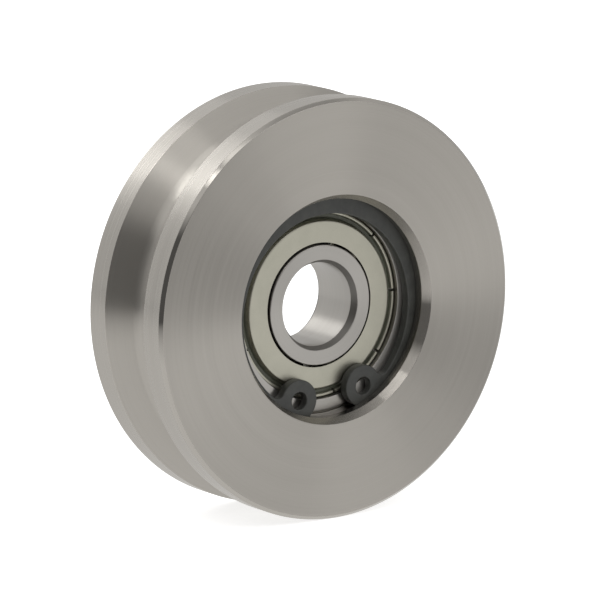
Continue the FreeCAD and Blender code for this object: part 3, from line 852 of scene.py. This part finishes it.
def add_floor():
    """The floor that the roller stands on: a rectangle whose near edge ends where the floor has faded."""
    front = np.array([*DARK_BEARING, 0])
    side = np.array([-DARK_BEARING[1], DARK_BEARING[0], 0]) * FLOOR_HALF
    level = np.array([0, 0, -ROLLER_RADIUS])
    near, far = front * FLOOR_FADE[1] + level, -front * FLOOR_HALF + level
    mesh = bpy.data.meshes.new("floor")
    mesh.from_pydata([near + side, near - side, far - side, far + side], [], [(0, 1, 2, 3)])
    mesh.materials.append(floor_finish("pale_floor"))
    floor = new_object("floor", mesh)


def dark_room(tree, direction):
    """The dark room's share of a direction: a window in bearing about its middle times a window in height."""
    parts = split(tree, direction)
    towards = dot(tree, direction, (*DARK_BEARING, 0))
    cosine = math(tree, "DIVIDE", towards, hypotenuse(tree, parts["X"], parts["Y"]))
    bearing = ramp(tree, cosine, 0, 1, *DARK_BEARING_EDGE)
    return math(tree, "MULTIPLY", bearing, ramp(tree, parts["Z"], 1, 0, *DARK_TOP_EDGE))


def ceiling_beam(tree, direction):
    """How much the beam dims a direction: a window along its length times one across it."""
    along = ramp(tree, dot(tree, direction, BEAM_MIDDLE), 0, BEAM_DEPTH, *BEAM_END_EDGE)
    aside = math(tree, "ABSOLUTE", dot(tree, direction, BEAM_SIDE))
    return math(tree, "MULTIPLY", along, ramp(tree, aside, 1, 0, *BEAM_SIDE_EDGE))


def add_world():
    """A white studio with a dark room behind the camera and a dim ceiling beam, seen only in the metal."""
    world = bpy.data.worlds.new("studio")
    bpy.context.scene.world = world
    world.use_nodes = True
    tree = world.node_tree
    tree.nodes.clear()
    direction = new_node(tree, "ShaderNodeTexCoord").outputs["Generated"]
    dark = dark_room(tree, direction)
    plain = math(tree, "ADD", dot(tree, direction, ROOM_SLOPE), ROOM)
    white = math(tree, "MULTIPLY", plain, math(tree, "SUBTRACT", 1.0, ceiling_beam(tree, direction)))
    light = math(tree, "MULTIPLY", white, math(tree, "SUBTRACT", 1.0, dark))
    room = math(tree, "ADD", light, math(tree, "MULTIPLY", dark, DARK_ROOM))
    camera = new_node(tree, "ShaderNodeLightPath").outputs["Is Camera Ray"]
    strength = math(tree, "MAXIMUM", room, camera)
    background = new_node(tree, "ShaderNodeBackground", {"Color": (1, 1, 1, 1), "Strength": strength})
    new_node(tree, "ShaderNodeOutputWorld", {"Surface": background.outputs[0]})


def add_softbox(name, direction, distance, width, height, radiance):
    """A soft area lamp that looks at the roller; its power is its radiance times pi times its area."""
    lamp = bpy.data.lights.new(name, "AREA")
    lamp.shape = "RECTANGLE"
    lamp.size, lamp.size_y = width, height
    lamp.energy = radiance * np.pi * width * height
    box = new_object(name, lamp)
    towards = Vector(direction).normalized()
    box.location = towards * distance
    box.rotation_euler = towards.to_track_quat("Z", "Y").to_euler()
    box.visible_camera = False


def add_camera():
    """The camera at the photograph's angle: aimed at the front face, then moved aside by the face's place."""
    azimuth, elevation = np.radians(CAMERA_AZIMUTH), np.radians(CAMERA_ELEVATION)
    level = np.cos(elevation)
    back = Vector((np.sin(azimuth) * level, -np.cos(azimuth) * level, np.sin(elevation)))
    right = Vector((np.cos(azimuth), np.sin(azimuth), 0))
    up = back.cross(right)
    data = bpy.data.cameras.new("camera")
    data.sensor_width = CAMERA_SENSOR
    data.lens = CAMERA_LENS
    data.clip_start, data.clip_end = CAMERA_CLIP
    camera = new_object("camera", data)
    face = Vector((0, -ROLLER_HALF, 0))
    camera.location = face + back * CAMERA_DISTANCE - right * FACE_RIGHT + up * FACE_DOWN
    camera.rotation_euler = back.to_track_quat("Z", "Y").to_euler()
    bpy.context.scene.camera = camera


bpy.context.scene.view_settings.view_transform = "Standard"
add_roller()
add_bearing()
add_retaining_ring()
add_floor()
add_world()
for softbox in SOFTBOXES:
    add_softbox(*softbox)
add_camera()
